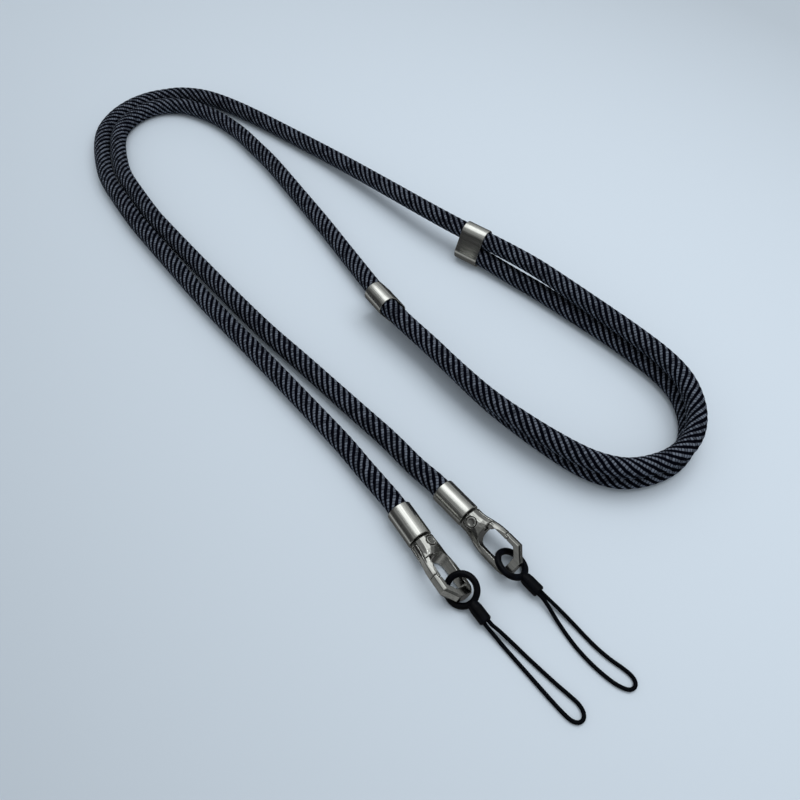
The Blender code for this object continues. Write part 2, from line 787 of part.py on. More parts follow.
def tether_route(ring, rows):
    """Route of a tether cord: out of the sleeve's end, round the tip and back beside itself."""
    end = RING_DIAMETER / 2 + SLEEVE_LENGTH + FIT_GAP
    start = [ring @ Vector((end + out, side * TETHER_SPREAD / 2, 0.0))
             for side, out in ((-1, 0.0), (-1, TETHER_DIAMETER))]
    finish = [ring @ Vector((end + out, side * TETHER_SPREAD / 2, 0.0))
              for side, out in ((1, TETHER_DIAMETER), (1, 0.0))]
    lying = [layout(x, y, TETHER_DIAMETER / 2 + lift) for x, y, lift in rows]
    return start + lying + finish


def paint(item, material):
    item.data.materials.clear()
    item.data.materials.append(material)


def build():
    clear_scene()
    parts = make_collection("crossbody_strap")
    cutters = make_collection("cutters")
    frames = {
        "slider_upper": slider_frame(SLIDER_UPPER, 1),
        "slider_middle": slider_frame(SLIDER_MIDDLE, -1),
        "hook_left": hook_frame(HOOK_LEFT),
        "hook_right": hook_frame(HOOK_RIGHT),
    }
    outer, inner = rope_routes(frames)
    for name, points in (("rope_outer", outer), ("rope_inner", inner)):
        rope = tube(name, smooth_route(points, ROPE_STEP), ROPE_DIAMETER, ROPE_SIDES_LEVEL, parts)
        paint(rope, make_material(name, (0.022, 0.024, 0.028), 0.0, 0.80))
    for name in ("slider_upper", "slider_middle"):
        slider = add_slider(name, frames[name], parts)
        paint(slider, make_material(name, (0.56, 0.55, 0.52), 1.0, 0.32))
    sides = (("left", RING_LEFT, TETHER_LEFT), ("right", RING_RIGHT, TETHER_RIGHT))
    for side, ring_pose, tether_rows in sides:
        frame = frames["hook_" + side]
        ring_place = ring_frame(frame, ring_pose)
        metal_pieces = (
            add_cap("cap_" + side, frame, parts),
            add_hook("hook_" + side, frame, parts, cutters),
            add_gate("gate_" + side, frame, parts, cutters),
            add_stud("stud_" + side, frame, parts),
        )
        for piece in metal_pieces:
            paint(piece, make_material(piece.name, (0.58, 0.57, 0.54), 1.0, 0.28))
        ring = add_ring("ring_" + side, ring_place, parts, cutters)
        paint(ring, make_material(ring.name, (0.012, 0.013, 0.016), 0.0, 0.55))
        route = smooth_route(tether_route(ring_place, tether_rows), TETHER_STEP)
        tether = tube("tether_" + side, route, TETHER_DIAMETER, 2, parts)
        paint(tether, make_material(tether.name, (0.012, 0.013, 0.015), 0.0, 0.70))


build()
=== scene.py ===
"""Looks of a phone crossbody strap, laid out as an add-on and run as a script.

Two braided ropes, thin tether cords, brushed sliders and end caps, cast snap hooks and rubber
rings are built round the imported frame. Lengths are in metres, +Z is up, and the strap lies on
z = 0.
"""
import math

import bmesh
import bpy
from bpy.props import FloatProperty, FloatVectorProperty, IntProperty, PointerProperty
from mathutils import Matrix, Vector


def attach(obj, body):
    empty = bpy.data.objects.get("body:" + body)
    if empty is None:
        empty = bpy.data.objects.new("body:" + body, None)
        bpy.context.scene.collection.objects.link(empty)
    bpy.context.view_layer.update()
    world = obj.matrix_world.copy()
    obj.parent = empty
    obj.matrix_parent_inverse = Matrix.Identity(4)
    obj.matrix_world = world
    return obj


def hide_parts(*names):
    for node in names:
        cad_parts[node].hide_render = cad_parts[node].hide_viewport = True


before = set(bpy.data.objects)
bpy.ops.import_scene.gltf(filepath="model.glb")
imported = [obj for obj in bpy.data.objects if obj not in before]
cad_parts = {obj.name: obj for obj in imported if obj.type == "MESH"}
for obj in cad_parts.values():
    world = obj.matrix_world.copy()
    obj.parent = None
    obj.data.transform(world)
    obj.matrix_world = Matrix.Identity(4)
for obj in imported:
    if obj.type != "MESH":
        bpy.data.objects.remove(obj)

bl_info = {
    "name": "Crossbody Strap Looks",
    "version": (1, 0, 0),
    "blender": (4, 5, 0),
    "location": "3D View > Sidebar > Strap",
    "description": "Builds the ropes, metal fittings, rubber rings and stage of a crossbody strap",
    "category": "Add Mesh",
}

SIDES = ("left", "right")

# Layout of the strap, the same as in the part's source
LAYOUT_ORIGIN = (0.0166, -0.00177)
FIT_GAP = 0.0003
ROPE_DIAMETER = 0.0076
ROPE_RADIUS = ROPE_DIAMETER / 2
ROPE_STEP = 0.024
ROPE_INSERT = 0.0085
ROPE_END_SETBACK = 0.0020
PAIR_SPACING = ROPE_DIAMETER + FIT_GAP
SLIDER_LENGTH = 0.0110
SLIDER_BORE = ROPE_DIAMETER + 2 * 0.00025
SLIDER_THICKNESS = SLIDER_BORE + 2 * 0.0005
SLIDER_LEAN = 60.0
SLIDER_UPPER = (0.0324, 0.0781, -35.5)
SLIDER_MIDDLE = (-0.0062, 0.0441, -55.0)
SLIDER_LEAD = 0.0020
CAP_LENGTH = 0.0136
CAP_BORE = ROPE_DIAMETER + 2 * 0.00025
CAP_DIAMETER = CAP_BORE + 2 * 0.00055
CAP_BORE_DEPTH = 0.0106
SWIVEL_SLOT = 0.0006
BARREL_DIAMETER = 0.0090
HOOK_HEIGHT = max(CAP_DIAMETER, BARREL_DIAMETER) / 2
HOOK_LENGTH = 0.0240
END_BAR_WIDTH = 0.0029
EYE_END = HOOK_LENGTH - END_BAR_WIDTH
STUD_ALONG = 0.0027
STUD_PIN_DIAMETER = 0.0014
STUD_HEAD_DIAMETER = 0.0036
STUD_HEAD_HEIGHT = 0.0005
STUD_SEAT_DEPTH = 0.0009
HOOK_LEFT = (0.0073, -0.0618, -57.0, 148.0)
HOOK_RIGHT = (0.0244, -0.0528, -49.5, 31.5)
RING_DIAMETER = 0.0130
SLEEVE_LENGTH = 0.0064
RING_LEFT = (0.00035, -0.00185, -0.00045, -53.0, 7.3, 30.4)
RING_RIGHT = (0.00053, -0.00104, -0.00007, -47.0, 6.4, -29.5)
TETHER_DIAMETER = 0.0014
TETHER_SPREAD = TETHER_DIAMETER + FIT_GAP
TETHER_ROOT = 0.0012

# Fineness of the meshes: lengths in metres, the angle in degrees
ROPE_PATH_STEP = 0.0030
TETHER_PATH_STEP = 0.0010
COLUMNS_PER_RIB = 6
CAP_STEPS = 96
STUD_STEPS = 64
SLIDER_BEND_STEPS = 32
SHARP_EDGE = 40
WELD = 0.000001

# Finish of the cords: drift in ribs, slant and shift in stitches, pitch and depths in metres,
# scales in cells a metre
RIB_DRIFT = 0.13
RIB_DRIFT_SCALE = 420.0
STITCH_SLANT = 1.3
STITCH_SHIFT = 0.37
YARNS_PER_RIB = 7
BRAID_DEPTH = 0.00016
HEATHER_SCALE = 2600.0
PLY_PITCH = 0.00055
PLY_DEPTH = 0.00004

# Finish of the metal: brush scales in cells a metre, shares of the nickel colour, among them
# painted shade in hollows and creases and painted highlight with polished wear on edges, and how
# near metal must be to paint shade in a hollow, in metres
BRUSH_LENGTHWISE = 25.0
SHEET_BRUSH = 2600.0
CAST_BRUSH = 2600.0
STROKE_SHADE = 0.66
CAST_FACE = 0.62
CAST_HOLLOW_SHADE = 0.08
CAST_CREASE_SHADE = 0.10
CAST_EDGE_HIGHLIGHT_AND_WEAR = 1.50
HOLLOW_SHADE_REACH = 0.0022

# Stage: the floor and the pool of light painted on it, the key light, and the room that the
# metal reflects, in metres, with the soft box's angles in degrees
FLOOR_HALF = 2.0
LIGHT_POOL_ACROSS = (1.0, 0.9, 0.0)
LIGHT_POOL_MIDDLE = 0.065
LIGHT_POOL_FALL = 0.15
LIGHT_POOL_SHADE = 0.76
KEY_PLACE = (0.22, 0.12, 0.60)
KEY_TARGET = (0.03, 0.0, 0.0)
KEY_SIZE = 0.50
SOFT_BOX_WAY = (-0.10, 0.35, 0.93)
SOFT_BOX_EDGE = 28
SOFT_BOX_CORE = 10
BOX_SHARE_ON_MATTE = 0.45
BACK_WALL_GLOW = 0.36
TABLE_GLOW = 0.58
ROOM_TINT = (0.96, 0.985, 1.0)
BACKDROP = (0.62, 0.70, 0.78)
SENSOR_WIDTH = 36.0

# Route of each rope where it lies alone: layout x, y and height of its centre over its rest
OUTER_LEG = (
    (-0.0130, -0.0330, 0.0),
    (-0.0215, -0.0220, 0.0),
    (-0.0350, -0.0062, 0.0),
    (-0.0545, 0.0163, 0.0),
    (-0.0812, 0.0466, 0.0),
    (-0.1030, 0.0732, 0.0),
)
INNER_LEG = (
    (0.0059, -0.0321, 0.0),
    (-0.0047, -0.0200, 0.0),
    (-0.0172, -0.0072, 0.0),
    (-0.0386, 0.0148, 0.0),
    (-0.0575, 0.0340, 0.0),
    (-0.0794, 0.0586, 0.0),
    (-0.0957, 0.0776, 0.0),
)
OUTER_REACH = (
    (-0.1165, 0.1936, 0.0),
    (-0.1058, 0.1921, 0.0),
    (-0.0950, 0.1875, 0.0),
    (-0.0796, 0.1778, 0.0),
    (-0.0597, 0.1629, 0.0),
    (-0.0394, 0.1463, 0.0008),
    (-0.0265, 0.1347, 0.0020),
    (-0.0083, 0.1172, 0.0042),
    (0.0144, 0.0951, 0.0070),
)
INNER_REACH = (
    (-0.1155, 0.1839, 0.0),
    (-0.1079, 0.1815, 0.0),
    (-0.0955, 0.1742, 0.0),
    (-0.0829, 0.1628, 0.0),
    (-0.0725, 0.1500, 0.0),
    (-0.0623, 0.1365, 0.0),
    (-0.0469, 0.1129, 0.0),
    (-0.0360, 0.0960, 0.0),
    (-0.0228, 0.0743, 0.0002),
)
# Route of the middle line of the two ropes where they run side by side: layout x, y, lean of the
# pair in degrees and spare space between the ropes
LEFT_LOOP = (
    (-0.1128, 0.0915, 0.0, 0.0),
    (-0.1197, 0.1007, 0.0, 0.0),
    (-0.1288, 0.1139, 0.0, 0.0),
    (-0.1364, 0.1257, 0.0, 0.0),
    (-0.1410, 0.1359, 0.0, 0.0),
    (-0.1451, 0.1495, 0.0, 0.0),
    (-0.1466, 0.1596, 0.0, 0.0),
    (-0.1457, 0.1668, 0.0, 0.0),
    (-0.1428, 0.1741, 0.0, 0.0),
    (-0.1373, 0.1812, 0.0, 0.0),
    (-0.1293, 0.1864, 0.0, 0.0002),
    (-0.1188, 0.1890, 0.0, 0.0008),
)
RIGHT_LOOP = (
    (0.0453, 0.0683, 62.0, 0.0010),
    (0.0591, 0.0565, 68.0, 0.0010),
    (0.0770, 0.0395, 73.0, 0.0003),
    (0.0870, 0.0297, 76.0, 0.0),
    (0.0964, 0.0196, 78.0, 0.0),
    (0.1040, 0.0101, 80.0, 0.0),
    (0.1090, 0.0004, 83.0, 0.0),
    (0.1103, -0.0115, 85.0, 0.0),
    (0.1073, -0.0225, 87.0, 0.0),
    (0.1003, -0.0308, 90.0, 0.0),
    (0.0909, -0.0355, 91.0, 0.0),
    (0.0797, -0.0370, 91.0, 0.0),
    (0.0680, -0.0332, 87.0, 0.0),
    (0.0564, -0.0251, 80.0, 0.0),
    (0.0448, -0.0152, 73.0, 0.0),
    (0.0331, -0.0038, 67.0, 0.0),
    (0.0202, 0.0116, 63.0, 0.0),
    (0.0080, 0.0272, 61.0, 0.0),
)
# Route of each tether: layout x, y and height over its rest, out from the sleeve and back again
TETHER_LEFT = (
    (0.0306, -0.0931, 0.0006),
    (0.0338, -0.0970, 0.0001),
    (0.0370, -0.1009, 0.0),
    (0.0407, -0.1054, 0.0),
    (0.0443, -0.1098, 0.0),
    (0.0476, -0.1138, 0.0),
    (0.0504, -0.1170, 0.0),
    (0.0526, -0.1190, 0.0),
    (0.0546, -0.1196, 0.0),
    (0.0562, -0.1187, 0.0),
    (0.0566, -0.1168, 0.0),
    (0.0554, -0.1142, 0.0),
    (0.0527, -0.1115, 0.0),
    (0.0490, -0.1081, 0.0),
    (0.0448, -0.1040, 0.0),
    (0.0404, -0.0996, 0.0),
    (0.0361, -0.0953, 0.0004),
    (0.0323, -0.0919, 0.0013),
)
TETHER_RIGHT = (
    (0.0490, -0.0835, 0.0013),
    (0.0515, -0.0880, 0.0004),
    (0.0543, -0.0928, 0.0),
    (0.0573, -0.0974, 0.0),
    (0.0607, -0.1016, 0.0),
    (0.0641, -0.1051, 0.0),
    (0.0674, -0.1079, 0.0),
    (0.0702, -0.1095, 0.0),
    (0.0722, -0.1099, 0.0),
    (0.0737, -0.1091, 0.0),
    (0.0741, -0.1075, 0.0),
    (0.0732, -0.1056, 0.0),
    (0.0709, -0.1034, 0.0),
    (0.0672, -0.1005, 0.0),
    (0.0636, -0.0971, 0.0),
    (0.0602, -0.0932, 0.0),
    (0.0567, -0.0890, 0.0002),
    (0.0531, -0.0850, 0.0007),
    (0.0502, -0.0820, 0.0011),
)


class RopeSettings(bpy.types.PropertyGroup):
    """Sizes and colours of the braided ropes."""

    ribs: IntProperty(
        name="Ribs", description="Light braid ribs round the rope", default=8, min=4, max=16)
    rib_height: FloatProperty(
        name="Rib Height", description="How far a rib stands over the valley beside it",
        default=0.00014, unit="LENGTH")
    lay: FloatProperty(
        name="Lay", description="Length of rope in which a rib goes round once",
        default=0.0262, unit="LENGTH")
    sample_step: FloatProperty(
        name="Sample Step", description="Distance between sections of the rope's mesh",
        default=0.00043, unit="LENGTH")
    stitch: FloatProperty(
        name="Stitch", description="Length along the rope of one stitch of a rib",
        default=0.00088, unit="LENGTH")
    dark: FloatVectorProperty(
        name="Dark Yarn", description="Colour of the yarn between the ribs",
        default=(0.0006, 0.0010, 0.0034), subtype="COLOR")
    light: FloatVectorProperty(
        name="Heather Yarn", description="Colour of the yarn of the ribs",
        default=(0.150, 0.175, 0.222), subtype="COLOR")


class TetherSettings(bpy.types.PropertyGroup):
    """Sizes and colour of the thin tether cords."""

    plies: IntProperty(
        name="Plies", description="Ribs round the cord", default=8, min=3, max=12)
    ply_height: FloatProperty(
        name="Ply Height", description="How far a rib stands over the valley beside it",
        default=0.00005, unit="LENGTH")
    lay: FloatProperty(
        name="Lay", description="Length of cord in which a rib goes round once",
        default=0.0060, unit="LENGTH")
    sample_step: FloatProperty(
        name="Sample Step", description="Distance between sections of the cord's mesh",
        default=0.00030, unit="LENGTH")
    color: FloatVectorProperty(
        name="Colour", description="Colour of the cord",
        default=(0.0006, 0.0009, 0.0018), subtype="COLOR")


class MetalSettings(bpy.types.PropertyGroup):
    """Finish of the nickel pieces, and the fineness of the cast ones."""

    nickel: FloatVectorProperty(
        name="Nickel", description="Colour of the brushed metal",
        default=(0.63, 0.635, 0.60), subtype="COLOR")
    roughness: FloatProperty(
        name="Roughness", description="Roughness of the brushed metal",
        default=0.22, min=0.0, max=1.0, subtype="FACTOR")
    brush_depth: FloatProperty(
        name="Brush Depth", description="Depth of the brush lines",
        default=0.000018, unit="LENGTH")
    cast_cell: FloatProperty(
        name="Cast Cell", description="Size of a mesh cell on the cast pieces",
        default=0.000120, unit="LENGTH")
    edge_passes: IntProperty(
        name="Edge Passes", description="Smoothing passes that soften a cast edge",
        default=2, min=0, max=40)


class RubberSettings(bpy.types.PropertyGroup):
    """Finish of the moulded rings."""

    color: FloatVectorProperty(
        name="Rubber", description="Colour of the rubber",
        default=(0.0008, 0.0011, 0.0022), subtype="COLOR")
    roughness: FloatProperty(
        name="Roughness", description="Roughness of the rubber",
        default=0.48, min=0.0, max=1.0, subtype="FACTOR")


class StageSettings(bpy.types.PropertyGroup):
    """Floor, lights and camera."""

    floor: FloatVectorProperty(
        name="Floor", description="Colour of the floor",
        default=(0.654, 0.743, 0.835), subtype="COLOR")
    key_power: FloatProperty(
        name="Key Power", description="Power of the soft light on the right",
        default=2.0, min=0.0, unit="POWER")
    box_glow: FloatProperty(
        name="Box Glow", description="Brightness of the soft box overhead",
        default=1.50, min=0.0)
    room_glow: FloatProperty(
        name="Room Glow", description="Brightness of the high parts of the room in reflections",
        default=0.40, min=0.0)
    room_fill: FloatProperty(
        name="Room Fill", description="Even light of the whole room on what isn't glossy",
        default=0.50, min=0.0)
    lens: FloatProperty(
        name="Lens", description="Focal length of the camera in millimetres",
        default=34.2, min=1.0)
    camera_distance: FloatProperty(
        name="Camera Distance", description="From the middle of the layout to the camera",
        default=0.300, unit="LENGTH")
    camera_elevation: FloatProperty(
        name="Camera Elevation", description="Height of the camera over the floor as an angle",
        default=math.radians(56.0), subtype="ANGLE")


def layout(x, y, z):
    return Vector((x - LAYOUT_ORIGIN[0], y - LAYOUT_ORIGIN[1], z))


def heading_vector(degrees):
    return Vector((math.cos(math.radians(degrees)), math.sin(math.radians(degrees)), 0.0))


def smooth_route(points, step, pieces=0):
    """Points on one smooth curve through the given ones, a step apart or in so many pieces."""
    last = len(points) - 1
    route = [points[0]]
    for index in range(last):
        before = points[max(index - 1, 0)]
        start = points[index]
        end = points[index + 1]
        after = points[min(index + 2, last)]
        count = pieces or max(1, round((end - start).length / step))
        for piece in range(1, count + 1):
            t = piece / count
            bend_in = (end - before) / 2
            bend_out = (after - start) / 2
            route.append(
                start * (2 * t**3 - 3 * t**2 + 1)
                + bend_in * (t**3 - 2 * t**2 + t)
                + end * (3 * t**2 - 2 * t**3)
                + bend_out * (t**3 - t**2)
            )
    return route


def pair_routes(table):
    """Centres of the two ropes, outer or upper one first, along the middle line in a table."""
    rows = smooth_route([Vector(row) for row in table], ROPE_STEP, 2)
    middles = [layout(x, y, 0.0) for x, y, lean, spare in rows]
    first = []
    second = []
    for index in range(1, len(rows) - 1):
        lean, spare = rows[index][2:]
        along = (middles[index + 1] - middles[index - 1]).normalized()
        outward = Vector((-along.y, along.x, 0.0))
        angle = math.radians(lean)
        half = (PAIR_SPACING + spare) / 2
        reach = outward * half * math.cos(angle) + Vector((0.0, 0.0, half * math.sin(angle)))
        middle = middles[index] + Vector((0.0, 0.0, ROPE_RADIUS + half * math.sin(angle)))
        first.append(middle + reach)
        second.append(middle - reach)
    return first, second


def slider_frame(place, outer_side):
    """Frame of a slider: X along its bore, Y from the lower rope to the upper one."""
    x, y, heading = place
    along = heading_vector(heading)
    lean = math.radians(SLIDER_LEAN)
    sideways = Vector((-along.y, along.x, 0.0)) * outer_side
    upward = sideways * math.cos(lean) + Vector((0.0, 0.0, math.sin(lean)))
    normal = along.cross(upward)
    centre = layout(x, y, SLIDER_THICKNESS / 2 + PAIR_SPACING / 2 * math.sin(lean))
    turn = Matrix((along, upward, normal)).transposed().to_4x4()
    return Matrix.Translation(centre) @ turn


def slider_line(place, side, start, end):
    """Two points on the bore line of one rope, from start to end of the slider's own X."""
    offset = side * PAIR_SPACING / 2
    return [place @ Vector((along, offset, 0.0)) for along in (start, end)]


def hook_frame(place):
    x, y, heading, roll = place
    turn = Matrix.Rotation(math.radians(heading), 4, "Z")
    turn = turn @ Matrix.Rotation(math.radians(roll), 4, "X")
    return Matrix.Translation(layout(x, y, HOOK_HEIGHT)) @ turn


def ring_frame(hook, pose):
    """Frame of a ring in a hook's eye: X to its sleeve, Z along its hole."""
    past, across, over, heading, dip, roll = pose
    centre = hook @ Vector((EYE_END + past, across, over))
    turn = Matrix.Rotation(math.radians(heading), 4, "Z")
    turn = turn @ Matrix.Rotation(math.radians(dip), 4, "Y")
    turn = turn @ Matrix.Rotation(math.radians(roll), 4, "X")
    return Matrix.Translation(centre) @ turn


def cap_points(place):
    """Rope points inside a cap, from the deepest to just outside the mouth."""
    mouth = -SWIVEL_SLOT - CAP_LENGTH
    return [place @ Vector((mouth + depth, 0.0, 0.0)) for depth in (ROPE_INSERT, 0.0, -ROPE_RADIUS)]


def rest_points(rows):
    return [layout(x, y, ROPE_RADIUS + lift) for x, y, lift in rows]


def rope_routes():
    """Route points of the outer and the inner rope, each from its end cap to its last end."""
    half = SLIDER_LENGTH / 2
    lead = half + SLIDER_LEAD
    inside = half - ROPE_END_SETBACK
    outer_left, inner_left = pair_routes(LEFT_LOOP)
    high, low = pair_routes(RIGHT_LOOP)
    upper = slider_frame(SLIDER_UPPER, 1)
    middle = slider_frame(SLIDER_MIDDLE, -1)
    outer = cap_points(hook_frame(HOOK_LEFT)) + rest_points(OUTER_LEG) + outer_left
    outer += rest_points(OUTER_REACH)
    outer += slider_line(upper, 1, -lead, lead)
    outer += high
    outer += slider_line(middle, 1, lead, -inside)
    inner = cap_points(hook_frame(HOOK_RIGHT)) + rest_points(INNER_LEG) + inner_left
    inner += rest_points(INNER_REACH)
    inner += slider_line(middle, -1, -lead, lead)
    inner += low[::-1]
    inner += slider_line(upper, -1, lead, -inside)
    return outer, inner


def tether_route(ring, rows):
    """Route of a tether cord: out of the sleeve, round the tip and back beside itself."""
    end = RING_DIAMETER / 2 + SLEEVE_LENGTH + FIT_GAP
    steps = (-TETHER_ROOT, 0.0, TETHER_DIAMETER)
    start = [ring @ Vector((end + out, -TETHER_SPREAD / 2, 0.0)) for out in steps]
    finish = [ring @ Vector((end + out, TETHER_SPREAD / 2, 0.0)) for out in steps[::-1]]
    lying = [layout(x, y, TETHER_DIAMETER / 2 + lift) for x, y, lift in rows]
    return start + lying + finish


def add_object(name, data):
    item = bpy.data.objects.new(name, data)
    bpy.context.scene.collection.objects.link(item)
    return item


def evaluated_mesh(item):
    """The item's mesh with its modifiers, as a plain mesh."""
    bpy.context.view_layer.update()
    evaluated = item.evaluated_get(bpy.context.evaluated_depsgraph_get())
    return bpy.data.meshes.new_from_object(evaluated)


def settle(item):
    """Turn an item with modifiers into a plain mesh object of the same name."""
    mesh = evaluated_mesh(item)
    name = item.name
    mesh.transform(item.matrix_world)
    bpy.data.objects.remove(item, do_unlink=True)
    mesh.name = name
    return add_object(name, mesh)


def paint(item, material):
    item.data.materials.clear()
    item.data.materials.append(material)


def add_node(tree, kind, inputs=(), **settings):
    """A node with its settings and inputs; an input's value is a number, a vector or a socket."""
    item = tree.nodes.new(kind)
    for key, value in settings.items():
        setattr(item, key, value)
    for key, value in dict(inputs).items():
        if isinstance(value, bpy.types.NodeSocket):
            tree.links.new(value, item.inputs[key])
        else:
            item.inputs[key].default_value = value
    return item


def calc(tree, operation, *values):
    """Output of a Math node."""
    return add_node(tree, "ShaderNodeMath", enumerate(values), operation=operation).outputs[0]


def new_tree(name, sockets):
    """A Geometry Nodes tree with one geometry in and out and the named inputs."""
    tree = bpy.data.node_groups.new(name, "GeometryNodeTree")
    tree.interface.new_socket("Geometry", in_out="INPUT", socket_type="NodeSocketGeometry")
    tree.interface.new_socket("Geometry", in_out="OUTPUT", socket_type="NodeSocketGeometry")
    for label, kind in sockets:
        tree.interface.new_socket(label, in_out="INPUT", socket_type=kind)
    return tree


def set_inputs(modifier, values):
    """Give a Geometry Nodes modifier its values, found by each socket's name."""
    sockets = {item.name: item.identifier for item in modifier.node_group.interface.items_tree
               if item.in_out == "INPUT"}
    for label, value in values.items():
        modifier[sockets[label]] = value


def ribbed_cord_tree():
    """Geometry Nodes tree that sweeps a ribbed section along a curve and twists it on its way."""
    tree = new_tree("Ribbed Cord", (
        ("Diameter", "NodeSocketFloat"),
        ("Ribs", "NodeSocketInt"),
        ("Rib Height", "NodeSocketFloat"),
        ("Lay", "NodeSocketFloat"),
        ("Sample Step", "NodeSocketFloat"),
        ("Material", "NodeSocketMaterial"),
    ))
    given = tree.nodes.new("NodeGroupInput").outputs
    sampled = add_node(tree, "GeometryNodeResampleCurve", {
        "Curve": given["Geometry"], "Length": given["Sample Step"]}, mode="LENGTH")
    upright = add_node(tree, "GeometryNodeSetCurveNormal", {"Curve": sampled.outputs[0]},
                       mode="MINIMUM_TWIST")
    along = tree.nodes.new("GeometryNodeSplineParameter").outputs["Length"]
    turns = calc(tree, "DIVIDE", along, given["Lay"])
    twisted = add_node(tree, "GeometryNodeSetCurveTilt", {
        "Curve": upright.outputs[0], "Tilt": calc(tree, "MULTIPLY", turns, 2 * math.pi)})
    rail = add_node(tree, "GeometryNodeStoreNamedAttribute", {
        "Geometry": twisted.outputs[0], "Name": "along", "Value": along},
        data_type="FLOAT", domain="POINT")

    columns = calc(tree, "MULTIPLY", given["Ribs"], COLUMNS_PER_RIB)
    section = add_node(tree, "GeometryNodeCurveArc", {
        "Resolution": calc(tree, "ADD", columns, 1),
        "Radius": calc(tree, "MULTIPLY", given["Diameter"], 0.5),
        "Start Angle": 0.0, "Sweep Angle": 2 * math.pi}, mode="RADIUS")
    index = tree.nodes.new("GeometryNodeInputIndex").outputs[0]
    around = calc(tree, "DIVIDE", index, columns)
    angle = calc(tree, "MULTIPLY", index, 2 * math.pi / COLUMNS_PER_RIB)
    valley = calc(tree, "MULTIPLY_ADD", calc(tree, "COSINE", angle), 0.5, 0.5)
    depth = calc(tree, "MULTIPLY", valley, given["Rib Height"])
    inward = add_node(tree, "ShaderNodeVectorMath", {
        0: tree.nodes.new("GeometryNodeInputPosition").outputs[0]}, operation="NORMALIZE")
    sink = add_node(tree, "ShaderNodeVectorMath", {
        0: inward.outputs[0], "Scale": calc(tree, "MULTIPLY", depth, -1.0)}, operation="SCALE")
    ribbed = add_node(tree, "GeometryNodeSetPosition", {
        "Geometry": section.outputs[0], "Offset": sink.outputs[0]})
    marked = add_node(tree, "GeometryNodeStoreNamedAttribute", {
        "Geometry": ribbed.outputs[0], "Name": "around", "Value": around},
        data_type="FLOAT", domain="POINT")

    swept = add_node(tree, "GeometryNodeCurveToMesh", {
        "Curve": rail.outputs[0], "Profile Curve": marked.outputs[0]})
    place = add_node(tree, "ShaderNodeCombineXYZ", {
        "X": add_node(tree, "GeometryNodeInputNamedAttribute", {"Name": "around"},
                      data_type="FLOAT").outputs[0],
        "Y": add_node(tree, "GeometryNodeInputNamedAttribute", {"Name": "along"},
                      data_type="FLOAT").outputs[0]})
    mapped = add_node(tree, "GeometryNodeStoreNamedAttribute", {
        "Geometry": swept.outputs[0], "Name": "weave", "Value": place.outputs[0]},
        data_type="FLOAT2", domain="CORNER")
    closed = add_node(tree, "GeometryNodeMergeByDistance", {
        "Geometry": mapped.outputs[0], "Distance": 0.000002})
    smooth = add_node(tree, "GeometryNodeSetShadeSmooth", {"Geometry": closed.outputs[0]})
    real = add_node(tree, "GeometryNodeRealizeInstances", {"Geometry": smooth.outputs[0]})
    painted = add_node(tree, "GeometryNodeSetMaterial", {
        "Geometry": real.outputs[0], "Material": given["Material"]})
    add_node(tree, "NodeGroupOutput", {"Geometry": painted.outputs[0]})
    return tree


def route_curve(name, points):
    """A poly curve object through the points, as the rail of a cord."""
    curve = bpy.data.curves.new(name, "CURVE")
    curve.dimensions = "3D"
    spline = curve.splines.new("POLY")
    spline.points.add(len(points) - 1)
    for point, place in zip(spline.points, points):
        point.co = (*place, 1.0)
    return add_object(name, curve)


def ribbed_cord(name, points, values):
    """A cord's mesh object, swept along the points by the Ribbed Cord tree, with closed ends."""
    rail = route_curve(name, points)
    modifier = rail.modifiers.new("cord", "NODES")
    modifier.node_group = bpy.data.node_groups.get("Ribbed Cord") or ribbed_cord_tree()
    set_inputs(modifier, values)
    cord = settle(rail)
    work = bmesh.new()
    work.from_mesh(cord.data)
    rims = [edge for edge in work.edges if edge.is_boundary]
    bmesh.ops.edgeloop_fill(work, edges=rims)
    work.to_mesh(cord.data)
    work.free()
    return cord


def new_material(name):
    """A material with its Principled shader and its tree."""
    material = bpy.data.materials.new(name)
    material.use_nodes = True
    return material, material.node_tree, material.node_tree.nodes["Principled BSDF"]


def ramp(tree, value, low, high, start=0.0, end=1.0, smooth=True):
    """Value mapped from low..high to start..end, held at the ends."""
    item = add_node(tree, "ShaderNodeMapRange", {
        "Value": value, "From Min": low, "From Max": high, "To Min": start, "To Max": end})
    item.interpolation_type = "SMOOTHSTEP" if smooth else "LINEAR"
    return item.outputs[0]


def scaled(color, share):
    return tuple(share * part for part in color)


def mix_color(tree, share, first, second):
    """First colour where share is 0, second where it is 1."""
    item = tree.nodes.new("ShaderNodeMix")
    item.data_type = "RGBA"
    for index, value in ((0, share), (6, first), (7, second)):
        socket = item.inputs[index]
        if isinstance(value, bpy.types.NodeSocket):
            tree.links.new(value, socket)
        elif socket.type == "RGBA":
            socket.default_value = (*value, 1.0)
        else:
            socket.default_value = value
    return item.outputs[2]


def noise(tree, vector, scale, detail=2.0, roughness=0.5):
    return add_node(tree, "ShaderNodeTexNoise", {
        "Vector": vector, "Scale": scale, "Detail": detail, "Roughness": roughness}).outputs[0]


def bump(tree, shader, height, distance, strength=1.0):
    item = add_node(tree, "ShaderNodeBump", {
        "Height": height, "Distance": distance, "Strength": strength})
    tree.links.new(item.outputs[0], shader.inputs["Normal"])


